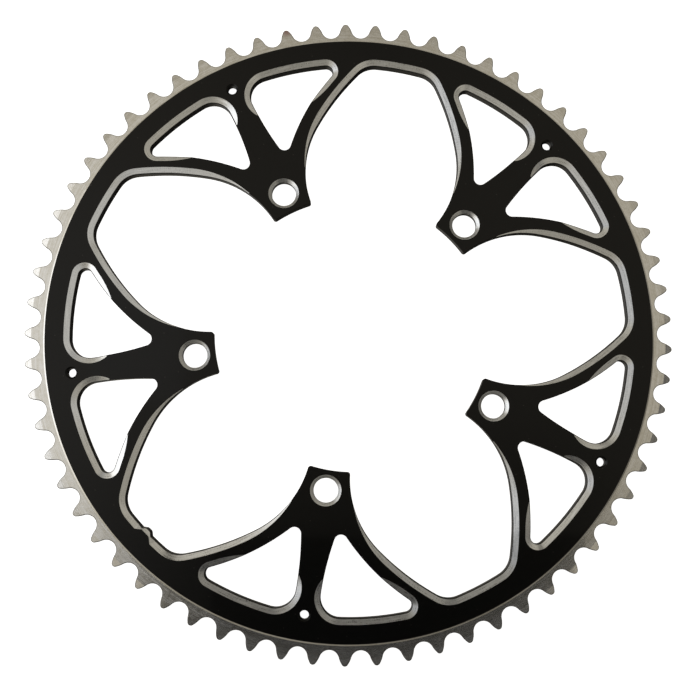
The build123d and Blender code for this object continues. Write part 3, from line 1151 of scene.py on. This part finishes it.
@dataclass(frozen=True)
class MilledBlack(Finish):
    """Black anodised wall with the mill's chatter: slanting lines from front to rear."""

    marks: Grain = Grain((2.0, 0.25), 2.0, 0.55, share=0.7, relief=0.8)
    slant: float = 0.55
    fine: Grain = Grain((6.0, 1.2), share=0.3, relief=0.2)

    def grain(self, shop: Shop) -> tuple[Tone, Tone]:
        """Slanting lines half a millimetre apart, with finer ones between them."""
        u, v = shop.path()
        return weave((self.marks, (u + v * self.slant, v)), (self.fine, (u, v)))


FINISHES: dict[Coat, Finish] = {
    Coat.BLACK_FACE: SatinBlack(
        name="satin_black_anodise",
        dark=(0.0012, 0.0011, 0.0010),
        light=(0.055, 0.052, 0.048),
        metallic=0.0,
        roughness=0.325,
        roughness_swing=0.08,
        relief=0.006,
        specular=0.27,
    ),
    Coat.BARE_BEVEL: MilledBare(
        name="milled_bare_aluminium",
        dark=(0.64, 0.65, 0.655),
        light=(0.93, 0.945, 0.96),
        metallic=1.0,
        roughness=0.32,
        roughness_swing=0.16,
        relief=0.012,
    ),
    Coat.BARE_TURNED: TurnedBare(
        name="turned_bare_aluminium",
        dark=(0.615, 0.595, 0.54),
        light=(0.855, 0.855, 0.855),
        metallic=1.0,
        roughness=0.22,
        roughness_swing=0.07,
        relief=0.0025,
    ),
    Coat.BLACK_WALL: MilledBlack(
        name="milled_black_wall",
        dark=(0.002, 0.002, 0.002),
        light=(0.010, 0.009, 0.008),
        metallic=0.0,
        roughness=0.42,
        roughness_swing=0.15,
        relief=0.03,
        specular=0.25,
    ),
    Coat.DULL_EDGE: MilledBare(
        name="dull_tooth_edge",
        dark=(0.11, 0.11, 0.105),
        light=(0.22, 0.217, 0.21),
        metallic=1.0,
        roughness=0.5,
        roughness_swing=0.2,
        relief=0.015,
    ),
}


def dress(piece: bpy.types.Object) -> None:
    """Gives the ring its finishes in the order of its slots."""
    for coat in Coat:
        piece.data.materials.append(FINISHES[coat].material())


@dataclass(frozen=True)
class Viewpoint:
    """The photograph's camera, in millimetres of the ring's frame and pixels of the image."""

    place: tuple[float, float, float] = (34.165, -35.937, 381.254)
    target: tuple[float, float, float] = (16.931, 4.365, 5.0)
    upwards: tuple[float, float, float] = (-0.71217, 0.69382, 0.10694)
    focal_pixels: float = 924.71
    centre_pixels: tuple[float, float] = (389.56, 354.54)
    sensor: float = 36.0
    clip_start: float = 0.02

    def axes(self) -> tuple[Vector, Vector, Vector]:
        """The image's right and up directions and the way back to the camera."""
        back = (Vector(self.place) - Vector(self.target)).normalized()
        right = Vector(self.upwards).cross(back).normalized()
        return right, back.cross(right), back

    def level_axes(self) -> dict[str, Vector]:
        """Level directions that run to the right and upwards in the image, and the height."""
        high = Vector((0, 0, 1))
        up = high.cross(self.axes()[0]).normalized()
        return {"right": up.cross(high), "up": up, "high": high}

    def set_up(self) -> None:
        """Makes the scene's camera; its shift puts the lens's axis at the centre's pixel."""
        data = bpy.data.cameras.new("camera")
        data.sensor_width = self.sensor
        data.lens = self.sensor * self.focal_pixels / IMAGE_SIDE
        data.shift_x = 0.5 - self.centre_pixels[0] / IMAGE_SIDE
        data.shift_y = self.centre_pixels[1] / IMAGE_SIDE - 0.5
        data.clip_start = self.clip_start
        camera = bpy.data.objects.new("camera", data)
        turn = Matrix(self.axes()).transposed().to_4x4()
        camera.matrix_world = Matrix.Translation(Vector(self.place) * MM) @ turn
        bpy.context.scene.collection.objects.link(camera)
        bpy.context.scene.camera = camera


class Facing(Enum):
    """Ways in which a card lies or stands: which of the image's axes run along its width and its depth."""

    LEVEL = ("right", "up")
    AHEAD = ("right", "high")
    ACROSS = ("up", "high")


@dataclass(frozen=True)
class Card:
    """A flat card with an even, dull surface, placed along the image's level axes from the ring's axis.

    Sizes are in millimetres. The cover is the share of light that the card stops.
    """

    name: str
    across: float
    ahead: float
    height: float
    width: float
    depth: float
    facing: Facing = Facing.LEVEL
    shade: float = 0.02
    glow: float = 0.0
    cover: float = 1.0
    roughness: float = 0.9

    def place(self, axes: dict[str, Vector]) -> tuple[Vector, Vector, Vector]:
        """The card's centre and the directions of its width and depth.

        Args:
            axes: The level axes of the image and the height.

        Returns:
            Centre in metres and two unit vectors.
        """
        centre = self.across * axes["right"] + self.ahead * axes["up"] + self.height * axes["high"]
        return centre * MM, *(axes[key] for key in self.facing.value)

    def material(self) -> bpy.types.Material:
        """Makes the surface; one that stops only part of the light is mixed with a clear one.

        Returns:
            The material.
        """
        made = bpy.data.materials.new(self.name)
        shop = Shop.cleared(made)
        sockets = {"Base Color": (self.shade,) * 3 + (1,), "Roughness": self.roughness}
        sockets |= {"Specular IOR Level": 0.0, "Emission Color": (1, 1, 1, 1), "Emission Strength": self.glow}
        surface = shop.node("ShaderNodeBsdfPrincipled", {}, sockets)
        if self.cover < 1:
            clear = shop.node("ShaderNodeBsdfTransparent", {}, {})
            surface = shop.node("ShaderNodeMixShader", {}, {0: self.cover, 1: clear, 2: surface})
        shop.node("ShaderNodeOutputMaterial", {}, {"Surface": surface})
        return made

    def build(self, axes: dict[str, Vector]) -> bpy.types.Object:
        """Makes the card from its four corners: its centre plus and minus half of each side.

        Args:
            axes: The level axes of the image and the height.

        Returns:
            The card's object.
        """
        centre, side, other = self.place(axes)
        side, other = side * self.width * MM / 2, other * self.depth * MM / 2
        corners = [centre + i * side + j * other for i, j in ((-1, -1), (1, -1), (1, 1), (-1, 1))]
        mesh = bpy.data.meshes.new(self.name)
        mesh.from_pydata(corners, [], [(0, 1, 2, 3)])
        mesh.materials.append(self.material())
        card = bpy.data.objects.new(self.name, mesh)
        bpy.context.scene.collection.objects.link(card)
        return card


@dataclass(frozen=True)
class Room:
    """The room as a dome of light: beige, with a white glow and a pane on the left, and dim on the right.

    Each ramp runs along one part of a direction: across to the image's right, ahead upwards in the image,
    or its height. A lean turns the across part towards the ahead part, and the diagonal is the share of each
    of them on the way to the nook at the lower right.
    """

    tint: tuple[float, float, float] = (1.0, 0.925, 0.765)
    level: float = 0.48
    dim_across: Ramp = Ramp(0.5, 0.95, 1.0, 0.6)
    dim_ahead: Ramp = Ramp(0.5, 0.9, 1.0, 0.92)
    dim_behind: Ramp = Ramp(-0.95, -0.45, 0.6, 1.0)
    nook_diagonal: float = 0.7
    nook_across: Ramp = Ramp(0.45, 0.9, 0.0, 0.55)
    nook_height: Ramp = Ramp(-0.3, 0.0, 1.0, 0.0)
    glow_level: float = 0.98
    glow_start: Ramp = Ramp(-0.58, -0.39)
    glow_end: Ramp = Ramp(-0.38, -0.08, 1.0, 0.0)
    glow_ahead: float = 0.03
    glow_beside: Ramp = Ramp(0.12, 0.50, 1.0, 0.0)
    pane_level: float = 1.3
    pane_lean: float = 0.08
    pane_across: Ramp = Ramp(-1.0, -0.76, 1.0, 0.0)
    pane_height: Ramp = Ramp(-0.15, 0.12, 1.0, 0.0)
    white_across: Ramp = Ramp(-0.45, -0.12, 1.0, 0.0)
    low_lean: float = 0.1
    low_across: Ramp = Ramp(-0.45, 0.30, 0.60, 0.0)
    horizon: Ramp = Ramp(-0.60, -0.35)

    def build(self, axes: dict[str, Vector]) -> None:
        """Makes the world: the dimmed room plus glow plus pane above the horizon, and a low light below it.

        Args:
            axes: The level axes of the image and the height.
        """
        world = bpy.data.worlds.new("studio")
        shop = Shop.cleared(world)
        way = shop.node("ShaderNodeTexCoord", {}, {}, out="Generated")
        dot = {"operation": "DOT_PRODUCT"}
        across, ahead, high = [
            shop.node("ShaderNodeVectorMath", dot, {0: way, 1: axes[key]}, out="Value")
            for key in ("right", "up", "high")
        ]
        dim = self.dim_across.of(across) * self.dim_ahead.of(ahead) * self.dim_behind.of(ahead)
        nook = self.nook_across.of((across - ahead) * self.nook_diagonal) * self.nook_height.of(high)
        beside = self.glow_beside.of(shop.math("ABSOLUTE", ahead - self.glow_ahead))
        glow = self.glow_start.of(across) * self.glow_end.of(across) * beside
        pane = self.pane_across.of(across - ahead * self.pane_lean) * self.pane_height.of(high)
        room = self.level * dim * (1 - nook) + (self.glow_level - self.level) * glow + self.pane_level * pane
        low = self.low_across.of(across - ahead * self.low_lean)
        above = self.horizon.of(high)
        white = shop.math("MAXIMUM", self.white_across.of(across) * beside, pane)
        tint = shop.mix(white, (*self.tint, 1), (1, 1, 1, 1))
        level = above * room + (1 - above) * low
        light = shop.node("ShaderNodeBackground", {}, {"Color": tint, "Strength": level})
        shop.node("ShaderNodeOutputWorld", {}, {"Surface": light})
        bpy.context.scene.world = world


@dataclass(frozen=True)
class Studio:
    """A white light table, the room around it, a window, flags and a dark gauze that shade the ring, and a
    white gauze that glows and lights its left side.
    """

    viewpoint: Viewpoint = Viewpoint()
    room: Room = Room()
    table: Card = Card("floor", 0, 0, -0.05, 8000, 8000, shade=0.9, glow=1.0)
    window: Card = Card("window", -300, 10, 96, 420, 172, Facing.ACROSS)
    window_level: float = 1.08
    flags: tuple[Card, ...] = (
        Card("flag_above", 20, -330, 1000, 720, 540),
        Card("flag_low", 0, -190, 91, 320, 118, Facing.AHEAD, shade=0.06),
        Card("flag_beyond", 50, 500, 500, 300, 320, Facing.AHEAD),
        Card("flag_right", 300, -110, 160, 300, 100, Facing.ACROSS, shade=0.14),
        Card("dark_gauze", 20, -116, 12, 156, 68, shade=0.11, cover=0.5),
        # The white gauze glows: a light near the ring's left side that brightens the bevels there.
        Card("white_gauze", -90, 13, 25, 38, 84, glow=0.8, cover=0.35),
    )

    def light_window(self, axes: dict[str, Vector]) -> None:
        """Hangs the window as an area light that faces the ring from the left.

        Args:
            axes: The level axes of the image and the height.
        """
        centre, side, high = self.window.place(axes)
        data = bpy.data.lights.new(self.window.name, "AREA")
        data.shape = "RECTANGLE"
        data.size, data.size_y = self.window.width * MM, self.window.depth * MM
        data.energy = self.window_level * math.pi * data.size * data.size_y
        pane = bpy.data.objects.new(self.window.name, data)
        turn = Matrix((-side, high, high.cross(side))).transposed().to_4x4()
        pane.matrix_world = Matrix.Translation(centre) @ turn
        bpy.context.scene.collection.objects.link(pane)

    def set_up(self) -> None:
        """Makes table, room, window, flags and camera, and keeps the picture's tones as they are lit.

        The ring's gloss doesn't mirror the table, and the camera doesn't see the flags and gauzes.
        """
        axes = self.viewpoint.level_axes()
        self.table.build(axes).visible_glossy = False
        self.room.build(axes)
        self.light_window(axes)
        for flag in self.flags:
            flag.build(axes).visible_camera = False
        self.viewpoint.set_up()
        bpy.context.scene.view_settings.view_transform = "Standard"


def main() -> None:
    """Builds the ring, sets up the studio and reports each piece."""
    logging.basicConfig(level=logging.INFO, format="%(name)s: %(message)s")
    ring = Chainring().build()
    dress(ring)
    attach(ring, "root")
    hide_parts("chainring")
    LOG.info("%s: %d faces, %d finishes", ring.name, len(ring.data.polygons), len(ring.data.materials))
    Studio().set_up()
    LOG.info("studio: light table, room, window, flags, gauzes and camera")


if __name__ == "__main__":
    main()
